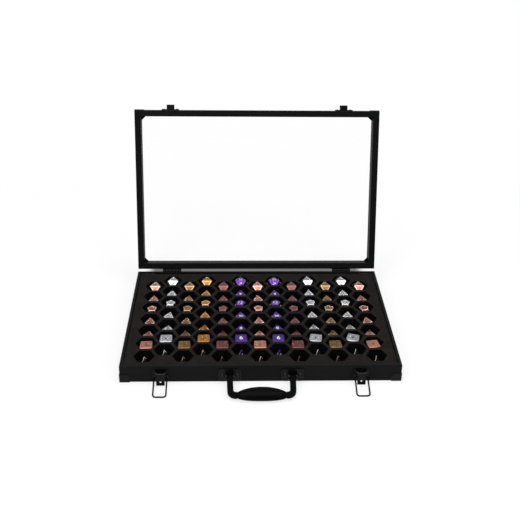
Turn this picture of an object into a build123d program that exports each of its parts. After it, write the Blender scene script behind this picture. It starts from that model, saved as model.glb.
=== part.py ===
"""Dice display case: a shallow black case with a hinged clear lid and a foam tray of
hexagonal pockets, shown open with thirteen seven-piece dice sets in their pockets.

The origin is on the flat underside, in the middle of the base. +Z is up, the front with
the handle and the latches faces -Y, and X runs along the case. All sizes are millimetres.
Lid pieces are drawn on planes of the closed lid, and open_lid turns each plane to rest.
"""

import os
from math import asin, cos, pi, radians, sin, sqrt

from build123d import *

os.makedirs("parts", exist_ok=True)

# Case
case_width = 335.0
case_depth = 221.0
base_height = 23.7
lid_height = 18.1
parting_gap = 0.4
lid_open_angle = 107.6

# Base rails, an extruded channel with a lip at the top and a shelf near the bottom
base_wall = 1.5
lip_width = 3.5
lip_thickness = 1.5
foot_width = 3.0
shelf_width = 9.0
shelf_thickness = 1.2
base_bottom_radius = 1.6
rail_edge_radius = 0.9

# Lid rails, an extruded tube with a slot for the window
lid_rail_width = 8.4
lid_wall = 1.3
window_thickness = 2.0
window_slot_depth = 4.0
window_cover = 2.4
slot_clearance = 0.1

# Bottom panel, foam and pockets
panel_thickness = 2.0
seat_clearance = 0.3
foam_recess = 2.0
foam_clearance = 0.4
foam_border = 5.0
pocket_across_flats = 22.5
pocket_wall = 4.5

# Dice, across their faces
d4_height = 17.8
d6_across = 16.4
d6_corner_radius = 2.2
d8_across = 12.6
d10_across = 15.0
d10_face_tilt = 42.0
d12_across = 16.8
d20_across = 20.4
dent_clearance = 0.1

# Corner keys, clips and guards
key_clearance = 0.1
key_leg = 22.0
base_key_thickness = 1.6
clip_leg = 5.8
clip_thickness = 2.0
guard_thickness = 0.7
guard_leg = 11.5
guard_height = 11.0
guard_corner_radius = 3.5
guard_lift = 0.5

# Hinges
hinge_spacing = 240.0
hinge_width = 26.0
hinge_offset = 2.0
knuckle_radius = 1.6
knuckle_count = 5
knuckle_gap = 0.2
hinge_pin_radius = 0.8
leaf_thickness = 1.2
leaf_height = 14.0
leaf_clearance = 0.6
heel_width = 10.0
heel_thickness = 2.0
heel_reach = 6.2
heel_clearance = 0.3
hinge_rivet_spacing = 16.0
hinge_rivet_drop = 9.0

# Fasteners
rivet_radius = 0.9
rivet_head_radius = 1.25
rivet_head_height = 0.6
rivet_head_taper = 30.0
screw_radius = 1.25
screw_head_radius = 2.6
screw_head_height = 1.4
screw_head_taper = 25.0
screw_slot_width = 0.6
fastener_clearance = 0.05
running_clearance = 0.05

# Latches
latch_spacing = 238.0
latch_plate_width = 18.5
latch_plate_height = 17.0
latch_plate_bottom = 2.2
latch_plate_thickness = 1.2
latch_plate_corner = 2.0
ear_thickness = 1.0
ear_radius = 2.8
ear_gap = 0.3
lever_width = 10.0
lever_cheek = 1.2
lever_web = 1.2
lever_pivot_out = 4.6
lever_pivot_height = 15.2
lever_eye_radius = 2.2
lever_front = 7.1
lever_tip_out = 8.7
lever_tip_height = 1.6
lever_bend_height = 5.4
lever_hole_radius = 1.3
latch_pin_radius = 1.0
latch_rivet_inset = 1.35
latch_rivet_margin = 2.8

# Wire bail of each latch
bail_wire_radius = 0.95
bail_width = 15.2
bail_length = 26.5
bail_pivot_out = 4.1
bail_pivot_height = 9.7
bail_corner_radius = 3.2
bail_foot_radius = 1.3
bail_floor_gap = 0.05

# Keepers on the lid
keeper_width = 23.6
keeper_height = 13.0
keeper_lift = 2.4
keeper_thickness = 1.3
keeper_corner = 1.5
hook_width = 10.5
hook_thickness = 1.6
hook_reach = 7.3
hook_lip = 4.4
hook_clearance = 0.3
keeper_rivet_spacing = 17.6

# Handle and its brackets
bracket_spacing = 74.6
bracket_width = 27.5
bracket_height = 17.9
bracket_thickness = 1.2
bracket_corner = 4.0
bracket_ear = 1.6
bracket_ear_radius = 3.4
handle_pivot_out = 5.2
handle_pivot_height = 10.6
handle_pin_radius = 1.2
handle_screw_spacing = 18.0
arm_width = 7.3
arm_thickness = 6.0
arm_edge_radius = 1.4
arm_toe_in = 0.9
arm_corner_radius = 6.5
arm_reach = 28.2
grip_end = 29.0
grip_shoulder = 19.0
grip_middle_reach = 26.2
grip_middle_width = 19.4
grip_middle_thickness = 12.5
grip_shoulder_width = 15.2
grip_shoulder_thickness = 10.8
grip_end_width = 7.2
grip_end_thickness = 6.4
grip_floor_gap = 0.15

# Places that several pieces share
shelf_bottom = panel_thickness
foam_bottom = shelf_bottom + shelf_thickness
foam_top = base_height - foam_recess
lid_bottom = base_height + parting_gap
window_bottom = lid_height - window_cover - window_thickness - slot_clearance
foam_width = case_width - 2 * (lip_width + foam_clearance)
foam_depth = case_depth - 2 * (lip_width + foam_clearance)
pocket_corner_radius = pocket_across_flats / sqrt(3)
pocket_pitch = pocket_across_flats + pocket_wall
column_pitch = pocket_pitch * sqrt(3) / 2
column_stagger = pocket_pitch / 2
column_room = foam_width - 2 * (foam_border + pocket_corner_radius)
row_room = foam_depth - 2 * foam_border - pocket_across_flats - column_stagger
pocket_columns = 1 + int(column_room / column_pitch)
pocket_rows = 1 + int(row_room / pocket_pitch)
hinge_point = Vector(0, case_depth / 2 + hinge_offset, base_height)
up = Vector(0, 0, 1)
front_face = Plane(origin=(0, -case_depth / 2, 0), x_dir=(1, 0, 0), z_dir=(0, -1, 0))
rear_face = Plane(origin=(0, case_depth / 2, 0), x_dir=(-1, 0, 0), z_dir=(0, 1, 0))
sides = {
    "front": Vector(0, 1, 0),
    "rear": Vector(0, -1, 0),
    "left": Vector(1, 0, 0),
    "right": Vector(-1, 0, 0),
}
hands = {"left": -1, "right": 1}
signs = (-1, 1)


def open_lid(plane):
    """Turns a plane of the closed lid about the hinge to where the open lid rests."""
    return Plane(
        origin=hinge_point + (plane.origin - hinge_point).rotate(Axis.X, -lid_open_angle),
        x_dir=plane.x_dir.rotate(Axis.X, -lid_open_angle),
        z_dir=plane.z_dir.rotate(Axis.X, -lid_open_angle),
    )


def leave(plane):
    """Keeps a plane of the base where it is."""
    return plane


def side_view(x):
    """A plane across the case at x: outwards from the front face, then up."""
    return Plane(origin=(x, -case_depth / 2, 0), x_dir=(0, -1, 0), z_dir=(-1, 0, 0))


def hinge_view(x):
    """A plane across a hinge at x, centred on the hinge's axis: rearwards, then up."""
    return Plane(origin=hinge_point + Vector(x, 0, 0), x_dir=(0, 1, 0), z_dir=(1, 0, 0))


def write(builder, label):
    """Labels a finished piece and writes its file."""
    builder.part.label = label
    export_step(builder.part, f"parts/{label}.step")


# Fastener places, as distances along a face and up it
handle_screw_points = [
    (hand * bracket_spacing / 2 + side * handle_screw_spacing / 2, handle_pivot_height)
    for hand in hands.values()
    for side in signs
]
latch_plate_middle = latch_plate_bottom + latch_plate_height / 2
latch_rivet_points = [
    (
        hand * latch_spacing / 2 + side * (latch_plate_width / 2 - latch_rivet_inset),
        latch_plate_middle + level * (latch_plate_height / 2 - latch_rivet_margin),
    )
    for hand in hands.values()
    for side in signs
    for level in signs
]
keeper_middle = lid_bottom + keeper_lift + keeper_height / 2
keeper_rivet_points = [
    (hand * latch_spacing / 2 + side * keeper_rivet_spacing / 2, keeper_middle)
    for hand in hands.values()
    for side in signs
]
hinge_rivet_places = [
    hand * hinge_spacing / 2 + side * hinge_rivet_spacing / 2
    for hand in hands.values()
    for side in signs
]
base_hinge_rivet_points = [(x, base_height - hinge_rivet_drop) for x in hinge_rivet_places]
lid_hinge_rivet_points = [(x, base_height + hinge_rivet_drop) for x in hinge_rivet_places]


# Rail sections and mitred rails
def base_rail_section():
    """The channel of the base rails: x runs inwards from the outer face, y runs up."""
    with BuildSketch() as section:
        Rectangle(base_wall, base_height, align=Align.MIN)
        Rectangle(foot_width, panel_thickness, align=Align.MIN)
        with Locations((0, base_height - lip_thickness)):
            Rectangle(lip_width, lip_thickness, align=Align.MIN)
        with Locations((0, shelf_bottom)):
            Rectangle(shelf_width, shelf_thickness, align=Align.MIN)
        fillet(section.vertices().sort_by_distance((0, 0))[0], base_bottom_radius)
        fillet(section.vertices().sort_by_distance((0, base_height))[0], rail_edge_radius)
    return section.sketch


def lid_rail_section():
    """The tube of the lid rails, with the window's slot in its inner face."""
    chamber_width = lid_rail_width - 2 * lid_wall
    chamber_height = window_bottom - 2 * lid_wall
    with BuildSketch() as section:
        Rectangle(lid_rail_width, lid_height, align=Align.MIN)
        fillet(section.vertices(), rail_edge_radius)
        with Locations((lid_wall, lid_wall)):
            Rectangle(chamber_width, chamber_height, align=Align.MIN, mode=Mode.SUBTRACT)
        with Locations((lid_rail_width - window_slot_depth, window_bottom)):
            Rectangle(
                window_slot_depth,
                window_thickness + slot_clearance,
                align=Align.MIN,
                mode=Mode.SUBTRACT,
            )
    return section.sketch


def mitred_rail(label, inward, height, section, hole_plane, holes, hole_depth, place):
    """One rail along a side of the case, cut at 45 degrees at both of its ends."""
    across = case_depth if inward.Y else case_width
    length = case_width if inward.Y else case_depth
    along = inward.cross(up)
    outer = inward * (-across / 2) + up * height
    with BuildPart() as rail:
        with BuildSketch(place(Plane(origin=outer, x_dir=inward, z_dir=along))):
            add(section)
        extrude(amount=length / 2, both=True)
        for end in signs:
            corner = outer + along * (end * length / 2)
            cut = Plane(origin=corner, x_dir=up, z_dir=along * -end - inward)
            split(bisect_by=place(cut), keep=Keep.TOP)
        for radius, points in holes:
            with BuildSketch(place(hole_plane)):
                with Locations(*points):
                    Circle(radius + fastener_clearance)
            extrude(amount=-hole_depth, mode=Mode.SUBTRACT)
    write(rail, label)


base_holes = {
    "front": [(screw_radius, handle_screw_points), (rivet_radius, latch_rivet_points)],
    "rear": [(rivet_radius, base_hinge_rivet_points)],
}
lid_holes = {
    "front": [(rivet_radius, keeper_rivet_points)],
    "rear": [(rivet_radius, lid_hinge_rivet_points)],
}
for side, inward in sides.items():
    face = rear_face if side == "rear" else front_face
    mitred_rail(
        f"base_rail_{side}",
        inward,
        0,
        base_rail_section(),
        face,
        base_holes.get(side, []),
        base_wall,
        leave,
    )
    mitred_rail(
        f"lid_rail_{side}",
        inward,
        lid_bottom,
        lid_rail_section(),
        face,
        lid_holes.get(side, []),
        lid_wall,
        open_lid,
    )

# Bottom panel, glued into the rebate under the shelf
with BuildPart() as base_panel:
    with BuildSketch():
        inset = 2 * (foot_width + seat_clearance)
        Rectangle(case_width - inset, case_depth - inset)
    extrude(amount=panel_thickness)
write(base_panel, "base_panel")

# Thin foam liner that the dice stand on, inside the shelf
with BuildPart() as foam_liner:
    with BuildSketch(Plane.XY.offset(shelf_bottom)):
        inset = 2 * (shelf_width + seat_clearance)
        Rectangle(case_width - inset, case_depth - inset)
    extrude(amount=shelf_thickness)
write(foam_liner, "foam_liner")


# Pockets, in staggered columns
def pocket_centre(column, row):
    """The middle of a pocket: columns run from the left, rows from the back."""
    shift = column_stagger / 2 if column % 2 else -column_stagger / 2
    x = (column - (pocket_columns - 1) / 2) * column_pitch
    y = ((pocket_rows - 1) / 2 - row) * pocket_pitch + shift
    return (x, y)


# Shapes of the dice, each standing in its row's pockets
golden = (1 + sqrt(5)) / 2
cube_corners = [(a, b, c) for a in signs for b in signs for c in signs]
d4_normals = [corner for corner in cube_corners if corner[0] * corner[1] * corner[2] < 0]
d8_normals = cube_corners
d12_normals = [
    turned
    for a in signs
    for b in signs
    for turned in ((0, a, b * golden), (a, b * golden, 0), (b * golden, 0, a))
]
d20_normals = cube_corners + [
    turned
    for a in signs
    for b in signs
    for turned in (
        (0, a / golden, b * golden),
        (a / golden, b * golden, 0),
        (b * golden, 0, a / golden),
    )
]
d10_normals = [
    (
        cos(radians(d10_face_tilt)) * cos(k * pi / 5),
        cos(radians(d10_face_tilt)) * sin(k * pi / 5),
        (-1) ** k * sin(radians(d10_face_tilt)),
    )
    for k in range(10)
]


def flat_sided_die(normals, face_distance, turn):
    """A die cut from a block by one plane per face, resting on its first face at z = 0.

    The corner of that face that is nearest to its foot points turn degrees round from +X.
    """
    block = 8 * face_distance
    with BuildPart() as rough:
        Box(block, block, block)
        for normal in normals:
            direction = Vector(*normal).normalized()
            split(bisect_by=Plane(origin=direction * face_distance, z_dir=direction), keep=Keep.BOTTOM)
    down = Vector(*normals[0]).normalized()
    foot = down * face_distance
    corner = rough.faces().sort_by_distance(foot)[0].vertices().sort_by_distance(foot)[0].center()
    resting = Plane(origin=foot, x_dir=corner - foot, z_dir=down * -1)
    return resting.to_local_coords(rough.part).rotate(Axis.Z, turn)


with BuildPart() as d6:
    Box(d6_across, d6_across, d6_across, align=(Align.CENTER, Align.CENTER, Align.MIN))
    fillet(d6.edges(), d6_corner_radius)

towards_front = -90
towards_pocket_corner = 0
d10 = flat_sided_die(d10_normals, d10_across / 2, towards_front)
dice_by_row = [
    flat_sided_die(d20_normals, d20_across / 2, towards_front),
    d10,
    flat_sided_die(d12_normals, d12_across / 2, towards_front),
    d10,
    flat_sided_die(d8_normals, d8_across / 2, towards_front),
    d6.part,
    flat_sided_die(d4_normals, d4_height / 4, towards_pocket_corner),
]

# Foam grid with staggered columns of pockets; the d20s press their corners into its walls
pocket_centres = [
    pocket_centre(column, row) for column in range(pocket_columns) for row in range(pocket_rows)
]
d20_dent = flat_sided_die(d20_normals, d20_across / 2 + dent_clearance, towards_front)
with BuildPart() as foam_grid:
    with BuildSketch(Plane.XY.offset(foam_bottom)):
        Rectangle(foam_width, foam_depth)
        with Locations(*pocket_centres):
            RegularPolygon(pocket_corner_radius, 6, mode=Mode.SUBTRACT)
    extrude(amount=foam_top - foam_bottom)
    for column in range(pocket_columns):
        with Locations((*pocket_centre(column, 0), foam_bottom - dent_clearance)):
            add(d20_dent, mode=Mode.SUBTRACT)
write(foam_grid, "foam_grid")

# Dice sets, one in each column of pockets
for column in range(pocket_columns):
    with BuildPart() as dice_set:
        for row, die in zip(range(pocket_rows), dice_by_row):
            with Locations((*pocket_centre(column, row), foam_bottom)):
                add(die)
    write(dice_set, f"dice_set_{column + 1:02d}")

# Corner keys behind the base rails' lip, standing on the shelf
with BuildPart() as base_corner_keys:
    outer_x = case_width / 2 - base_wall
    outer_y = case_depth / 2 - base_wall
    with BuildSketch(Plane.XY.offset(foam_bottom)):
        with Locations((outer_x, outer_y)):
            Rectangle(key_leg, key_leg, align=Align.MAX)
        with Locations((outer_x - base_key_thickness, outer_y - base_key_thickness)):
            Rectangle(key_leg, key_leg, align=Align.MAX, mode=Mode.SUBTRACT)
    extrude(amount=base_height - lip_thickness - key_clearance - foam_bottom)
    mirror(about=Plane.YZ)
    mirror(about=Plane.XZ)
write(base_corner_keys, "base_corner_keys")

# Corner keys in the lid rails' tubes
with BuildPart() as lid_corner_keys:
    outer_x = case_width / 2 - lid_wall - key_clearance
    outer_y = case_depth / 2 - lid_wall - key_clearance
    thickness = lid_rail_width - 2 * (lid_wall + key_clearance)
    with BuildSketch(open_lid(Plane.XY.offset(lid_bottom + lid_wall))):
        with Locations((outer_x, outer_y)):
            Rectangle(key_leg, key_leg, align=Align.MAX)
        with Locations((outer_x - thickness, outer_y - thickness)):
            Rectangle(key_leg, key_leg, align=Align.MAX, mode=Mode.SUBTRACT)
    extrude(amount=window_bottom - 2 * lid_wall - key_clearance)
    mirror(about=Plane.YZ)
    mirror(about=open_lid(Plane.XZ))
write(lid_corner_keys, "lid_corner_keys")

# Clear window in the lid rails' slot
with BuildPart() as lid_window:
    with BuildSketch(open_lid(Plane.XY.offset(lid_bottom + window_bottom))):
        inset = 2 * (lid_rail_width - window_slot_depth + seat_clearance)
        Rectangle(case_width - inset, case_depth - inset)
    extrude(amount=window_thickness)
write(lid_window, "lid_window")

# Triangular clips that back the window in the lid's inner corners
with BuildPart() as lid_corner_clips:
    inner_x = case_width / 2 - lid_rail_width
    inner_y = case_depth / 2 - lid_rail_width
    with BuildSketch(open_lid(Plane.XY.offset(lid_bottom + window_bottom - clip_thickness))):
        with BuildLine():
            Polyline(
                (inner_x, inner_y), (inner_x - clip_leg, inner_y), (inner_x, inner_y - clip_leg), close=True
            )
        make_face()
    extrude(amount=clip_thickness)
    mirror(about=Plane.YZ)
    mirror(about=open_lid(Plane.XZ))
write(lid_corner_clips, "lid_corner_clips")


# Corner guards, thin angles on the outer corners
def corner_guards(label, bottom, rounded_end, place):
    """Four angles with rounded ends, rounded_end being the group that faces mid-height."""
    outer_x = case_width / 2 + guard_thickness
    outer_y = case_depth / 2 + guard_thickness
    length = guard_leg + guard_thickness
    with BuildPart() as guards:
        with BuildSketch(place(Plane.XY.offset(bottom))):
            with Locations((outer_x, outer_y)):
                Rectangle(length, length, align=Align.MAX)
            with Locations((case_width / 2, case_depth / 2)):
                Rectangle(length, length, align=Align.MAX, mode=Mode.SUBTRACT)
        extrude(amount=guard_height)
        middle = place(Plane.XY.offset(bottom + guard_height / 2))
        rounded = [
            edge
            for edge in guards.edges()
            if abs(edge.length - guard_thickness) < guard_thickness / 10
            and (edge.center() - middle.origin).dot(middle.z_dir) * rounded_end > 0
        ]
        fillet(rounded, guard_corner_radius)
        mirror(about=Plane.YZ)
        mirror(about=place(Plane.XZ))
    write(guards, label)


corner_guards("base_corner_guards", guard_lift, 1, leave)
corner_guards("lid_corner_guards", lid_bottom + lid_height - guard_lift - guard_height, -1, open_lid)

# Hinges
knuckle_pitch = hinge_width / knuckle_count
knuckle_length = knuckle_pitch - knuckle_gap


def knuckle_places(x, first):
    """The middles of every second knuckle of a hinge at x, from the given one on."""
    start = x - hinge_width / 2 + knuckle_pitch / 2
    return [start + k * knuckle_pitch for k in range(first, knuckle_count, 2)]


def stop_heel(x):
    """The heel under the knuckles that the open lid's leaf comes down on."""
    slope = radians(lid_open_angle - 90)
    plate_face = leaf_thickness - hinge_offset
    under = -(knuckle_radius + leaf_clearance)

    def stop_height(reach):
        on_leaf = (reach + plate_face * sin(slope)) / cos(slope)
        return -plate_face * cos(slope) - on_leaf * sin(slope) - heel_clearance

    inner = heel_reach - heel_thickness
    with BuildPart() as heel:
        with BuildSketch(hinge_view(x)):
            with BuildLine():
                Polyline(
                    (-hinge_offset, under),
                    (inner, under),
                    (inner, stop_height(inner)),
                    (heel_reach, stop_height(heel_reach)),
                    (heel_reach, under - heel_thickness),
                    (-hinge_offset, under - heel_thickness),
                    close=True,
                )
            make_face()
        extrude(amount=heel_width / 2, both=True)
    return heel.part


def rivet_holes(face, points, depth):
    """The rivets' holes through a plate that lies on a face of the case."""
    with BuildPart() as holes:
        with BuildSketch(face):
            with Locations(*points):
                Circle(rivet_radius + fastener_clearance)
        extrude(amount=depth)
    return holes.part


def hinge_leaf(label, x, first, upward, place, holes, heel):
    """One hinge leaf: a plate on the case, its knuckles and the tongues between them."""
    clear = knuckle_radius + leaf_clearance
    plate_low = clear if upward else -leaf_height
    tongue_low = leaf_clearance if upward else -clear
    with BuildPart() as hinge_part:
        with BuildSketch(place(hinge_view(x))):
            with Locations((-hinge_offset, plate_low)):
                Rectangle(leaf_thickness, leaf_height - clear, align=Align.MIN)
        extrude(amount=hinge_width / 2, both=True)
        for middle in knuckle_places(x, first):
            with BuildSketch(place(hinge_view(middle))):
                with Locations((-hinge_offset, tongue_low)):
                    Rectangle(leaf_thickness, clear - leaf_clearance, align=Align.MIN)
                Circle(knuckle_radius)
            extrude(amount=knuckle_length / 2, both=True)
        with BuildSketch(place(hinge_view(x))):
            Circle(hinge_pin_radius + running_clearance)
        extrude(amount=hinge_width, both=True, mode=Mode.SUBTRACT)
        add(holes, mode=Mode.SUBTRACT)
        for piece in heel:
            add(piece)
    write(hinge_part, label)


base_leaf_holes = rivet_holes(rear_face, base_hinge_rivet_points, leaf_thickness)
lid_leaf_holes = rivet_holes(open_lid(rear_face), lid_hinge_rivet_points, leaf_thickness)
for hand, direction in hands.items():
    hinge_x = direction * hinge_spacing / 2
    hinge_leaf(
        f"{hand}_hinge_base_leaf", hinge_x, 0, False, leave, base_leaf_holes, [stop_heel(hinge_x)]
    )
    hinge_leaf(f"{hand}_hinge_lid_leaf", hinge_x, 1, True, open_lid, lid_leaf_holes, [])

    with BuildPart() as hinge_pin:
        with BuildSketch(hinge_view(hinge_x)):
            Circle(hinge_pin_radius)
        extrude(amount=hinge_width / 2, both=True)
    write(hinge_pin, f"{hand}_hinge_pin")


# Rivets
def rivets(label, face, points, wall, plate):
    """Dome-headed rivets through a plate and the wall of the rail behind it."""
    with BuildPart() as group:
        with BuildSketch(face.offset(-wall)):
            with Locations(*points):
                Circle(rivet_radius)
        extrude(amount=wall + plate)
        with BuildSketch(face.offset(plate)):
            with Locations(*points):
                Circle(rivet_head_radius)
        extrude(amount=rivet_head_height, taper=rivet_head_taper)
    write(group, label)


rivets("base_hinge_rivets", rear_face, base_hinge_rivet_points, base_wall, leaf_thickness)
rivets("lid_hinge_rivets", open_lid(rear_face), lid_hinge_rivet_points, lid_wall, leaf_thickness)
rivets("latch_rivets", front_face, latch_rivet_points, base_wall, latch_plate_thickness)
rivets("keeper_rivets", open_lid(front_face), keeper_rivet_points, lid_wall, keeper_thickness)

# Latches
ear_inner = lever_width / 2 + ear_gap
ear_outer = ear_inner + ear_thickness
lever_pivot = (lever_pivot_out, lever_pivot_height)
bail_pivot = (bail_pivot_out, bail_pivot_height)
bail_rise = bail_pivot_height - bail_wire_radius - bail_floor_gap
bail_droop = asin(bail_rise / bail_length)
latch_plate_holes = rivet_holes(front_face, latch_rivet_points, latch_plate_thickness)
keeper_holes = rivet_holes(open_lid(front_face), keeper_rivet_points, keeper_thickness)

for hand, direction in hands.items():
    latch_x = direction * latch_spacing / 2

    # Plate on the front rail, with two ears for the lever
    with BuildPart() as latch_plate:
        with BuildSketch(front_face):
            with Locations((latch_x, latch_plate_middle)):
                RectangleRounded(latch_plate_width, latch_plate_height, latch_plate_corner)
        extrude(amount=latch_plate_thickness)
        for ear_side in signs:
            ear_x = latch_x + ear_side * (ear_inner + ear_thickness / 2)
            with BuildSketch(side_view(ear_x)):
                with Locations((0, lever_pivot_height)):
                    Rectangle(
                        lever_pivot_out, 2 * ear_radius, align=(Align.MIN, Align.CENTER)
                    )
                with Locations(lever_pivot):
                    Circle(ear_radius)
            extrude(amount=ear_thickness / 2, both=True)
        with BuildSketch(side_view(latch_x)):
            with Locations(lever_pivot):
                Circle(latch_pin_radius + running_clearance)
        extrude(amount=latch_plate_width, both=True, mode=Mode.SUBTRACT)
        add(latch_plate_holes, mode=Mode.SUBTRACT)
    write(latch_plate, f"{hand}_latch_plate")

    # Pin that the lever turns on
    with BuildPart() as latch_pin:
        with BuildSketch(side_view(latch_x)):
            with Locations(lever_pivot):
                Circle(latch_pin_radius)
        extrude(amount=ear_outer, both=True)
    write(latch_pin, f"{hand}_latch_pin")

    # Lever, a bent channel whose tip turns outwards for a fingertip
    with BuildPart() as latch_lever:
        with BuildSketch(side_view(latch_x)):
            with BuildLine():
                Polyline(
                    (lever_pivot_out, lever_pivot_height + lever_eye_radius),
                    (lever_front, lever_pivot_height + lever_eye_radius / 2),
                    (lever_front, lever_bend_height),
                    (lever_tip_out, lever_tip_height),
                    (lever_tip_out - lever_web, lever_tip_height),
                    (lever_front - lever_web, lever_bend_height),
                    (bail_pivot_out, bail_pivot_height - lever_eye_radius),
                    (bail_pivot_out - lever_eye_radius + lever_web / 2, bail_pivot_height),
                    (lever_pivot_out - lever_eye_radius, lever_pivot_height),
                    close=True,
                )
            make_face()
            with Locations(lever_pivot):
                Circle(lever_eye_radius)
        extrude(amount=lever_width / 2, both=True)
        with BuildSketch(side_view(latch_x)):
            with Locations((lever_front - lever_web, lever_tip_height)):
                Rectangle(
                    2 * lever_width,
                    4 * lever_width,
                    align=(Align.MAX, Align.CENTER),
                )
        extrude(amount=lever_width / 2 - lever_cheek, both=True, mode=Mode.SUBTRACT)
        with BuildSketch(side_view(latch_x)):
            with Locations(lever_pivot):
                Circle(latch_pin_radius + running_clearance)
            with Locations(bail_pivot):
                Circle(bail_wire_radius + running_clearance)
        extrude(amount=lever_width, both=True, mode=Mode.SUBTRACT)
        with BuildSketch(front_face):
            with Locations((latch_x, lever_bend_height)):
                Circle(lever_hole_radius)
        extrude(amount=2 * lever_tip_out, mode=Mode.SUBTRACT)
    write(latch_lever, f"{hand}_latch_lever")

    # Wire bail, hooked into the lever's cheeks and lying on the floor in front
    with BuildPart() as latch_bail:
        bail_plane = Plane(
            origin=(latch_x, -case_depth / 2 - bail_pivot_out, bail_pivot_height),
            x_dir=(1, 0, 0),
            z_dir=(0, sin(bail_droop), -cos(bail_droop)),
        )
        half = bail_width / 2
        foot = lever_width / 2 - lever_cheek
        with BuildLine(bail_plane) as route:
            FilletPolyline(
                (foot, 0),
                (half, 0),
                (half, bail_length),
                (-half, bail_length),
                (-half, 0),
                (-foot, 0),
                radius=[bail_foot_radius, bail_corner_radius, bail_corner_radius, bail_foot_radius],
            )
        with BuildSketch(Plane(origin=route.line @ 0, z_dir=route.line % 0)):
            Circle(bail_wire_radius)
        sweep()
    write(latch_bail, f"{hand}_latch_bail")

    # Keeper on the lid, with a hook that holds the bail's end
    hook_height = bail_pivot_height + bail_length - bail_wire_radius - hook_clearance
    with BuildPart() as keeper:
        with BuildSketch(open_lid(front_face)):
            with Locations((latch_x, keeper_middle)):
                RectangleRounded(keeper_width, keeper_height, keeper_corner)
        extrude(amount=keeper_thickness)
        with BuildSketch(open_lid(side_view(latch_x))):
            with BuildLine():
                Polyline(
                    (0, hook_height - hook_thickness),
                    (hook_reach, hook_height - hook_thickness),
                    (hook_reach, hook_height - hook_thickness + hook_lip),
                    (hook_reach - hook_thickness, hook_height - hook_thickness + hook_lip),
                    (hook_reach - hook_thickness, hook_height),
                    (0, hook_height),
                    close=True,
                )
            make_face()
        extrude(amount=hook_width / 2, both=True)
        add(keeper_holes, mode=Mode.SUBTRACT)
    write(keeper, f"{hand}_keeper")

# Handle brackets
handle_pivot = (handle_pivot_out, handle_pivot_height)
for hand, direction in hands.items():
    bracket_x = direction * bracket_spacing / 2
    with BuildPart() as bracket:
        with BuildSketch(front_face):
            with Locations((bracket_x, handle_pivot_height)):
                RectangleRounded(bracket_width, bracket_height, bracket_corner)
        extrude(amount=bracket_thickness)
        for ear_side in signs:
            ear_x = bracket_x + ear_side * (arm_width / 2 + ear_gap + bracket_ear / 2)
            with BuildSketch(side_view(ear_x)):
                with Locations((0, handle_pivot_height)):
                    Rectangle(
                        handle_pivot_out, 2 * bracket_ear_radius, align=(Align.MIN, Align.CENTER)
                    )
                with Locations(handle_pivot):
                    Circle(bracket_ear_radius)
            extrude(amount=bracket_ear / 2, both=True)
        with BuildSketch(side_view(bracket_x)):
            with Locations(handle_pivot):
                Circle(handle_pin_radius + running_clearance)
        extrude(amount=bracket_width, both=True, mode=Mode.SUBTRACT)
        with BuildSketch(front_face):
            with Locations(*handle_screw_points):
                Circle(screw_radius + fastener_clearance)
        extrude(amount=bracket_thickness, mode=Mode.SUBTRACT)
    write(bracket, f"{hand}_handle_bracket")

# Pins that the handle swings on
with BuildPart() as handle_pins:
    for direction in hands.values():
        with BuildSketch(side_view(direction * bracket_spacing / 2)):
            with Locations(handle_pivot):
                Circle(handle_pin_radius)
        extrude(amount=arm_width / 2 + ear_gap + bracket_ear, both=True)
write(handle_pins, "handle_pins")

# Slotted screws that hold the brackets
with BuildPart() as handle_screws:
    with BuildSketch(front_face.offset(-base_wall)):
        with Locations(*handle_screw_points):
            Circle(screw_radius)
    extrude(amount=base_wall + bracket_thickness)
    with BuildSketch(front_face.offset(bracket_thickness)):
        with Locations(*handle_screw_points):
            Circle(screw_head_radius)
    extrude(amount=screw_head_height, taper=screw_head_taper)
    with BuildSketch(front_face.offset(bracket_thickness + screw_head_height)):
        with Locations(*handle_screw_points):
            Rectangle(2 * screw_head_radius, screw_slot_width)
    extrude(amount=-screw_head_height / 2, mode=Mode.SUBTRACT)
write(handle_screws, "handle_screws")

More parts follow.
